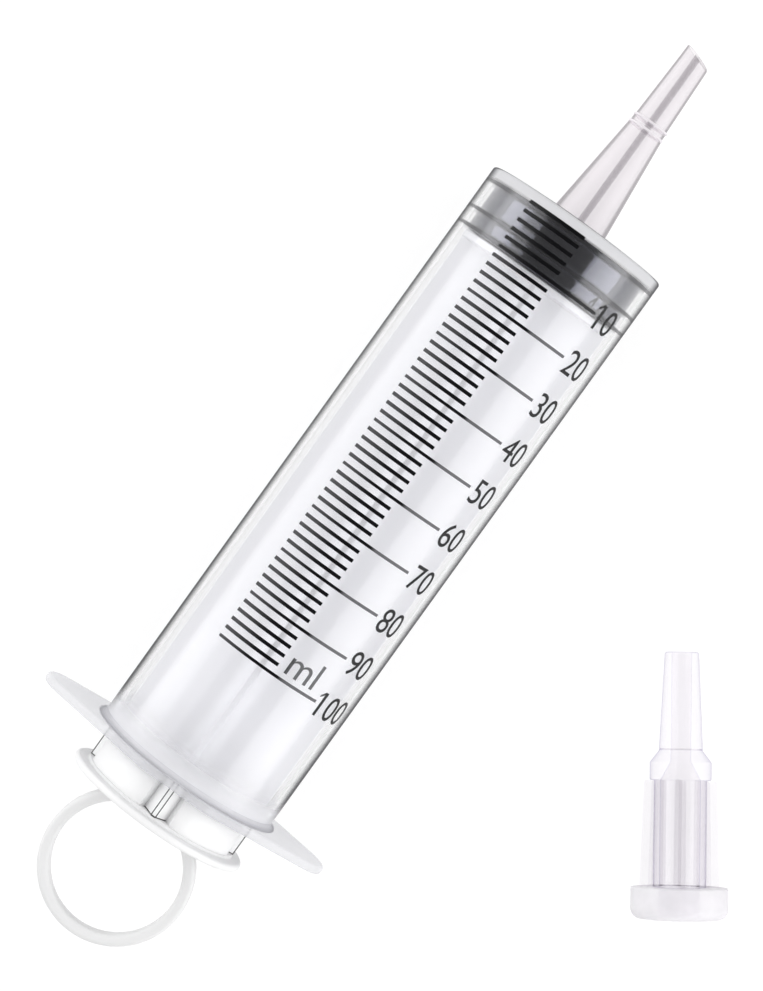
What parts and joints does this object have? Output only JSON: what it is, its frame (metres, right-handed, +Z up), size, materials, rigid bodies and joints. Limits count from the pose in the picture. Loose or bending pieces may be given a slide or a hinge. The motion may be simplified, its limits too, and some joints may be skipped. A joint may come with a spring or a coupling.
{
  "type": "feeding syringe",
  "caption": "Large clear feeding syringe with a long catheter nozzle, a black rubber seal and a pull ring on the plunger, with its loose stepped tube adapter.",
  "frame": {"origin": "on the nozzle's axis, level with the short side of its slanted end", "axes": "+X along the syringe's axis towards the nozzle, +Z up from the surface it lies on, +Y to the left seen from behind the plunger"},
  "size_m": [0.2078, 0.1352, 0.0404],
  "materials": {
    "barrel_plastic": "clear, faintly milky polypropylene",
    "nozzle_plastic": "clear, faintly pink polypropylene",
    "flange_plastic": "milky polypropylene",
    "scale_ink": "black screen print",
    "seal_rubber": "smooth black rubber, silicone oiled",
    "plunger_plastic": "white polypropylene",
    "ring_plastic": "white polypropylene, satin",
    "adapter_plastic": "clear, faintly lilac plastic"
  },
  "bodies": {
    "barrel": {"nozzle": "nozzle_plastic", "front_wall": "barrel_plastic", "barrel_tube": "barrel_plastic", "finger_flange": "flange_plastic", "scale_lines": "scale_ink"},
    "seal": {"seal": "seal_rubber"},
    "plunger": {"rod_head": "plunger_plastic", "plunger_rod": "plunger_plastic", "thumb_plate": "plunger_plastic", "pull_ring": "ring_plastic"},
    "adapter": {"adapter_flange": "adapter_plastic", "adapter_body": "adapter_plastic", "adapter_tube": "adapter_plastic"}
  },
  "joints": [
    {"name": "plunger_slide", "type": "slide", "parent": "barrel", "child": "seal", "axis": [-1, 0, 0], "range_m": [0, 0.111]},
    {"name": "plunger_turn", "type": "hinge", "parent": "seal", "child": "plunger", "pos_m": [-0.0509, 0, 0], "axis": [1, 0, 0], "continuous": true},
    {"name": "adapter_lift", "type": "slide", "parent": "barrel", "child": "adapter", "axis": [0, 0, 1], "range_m": [0, 0.1]}
  ]
}
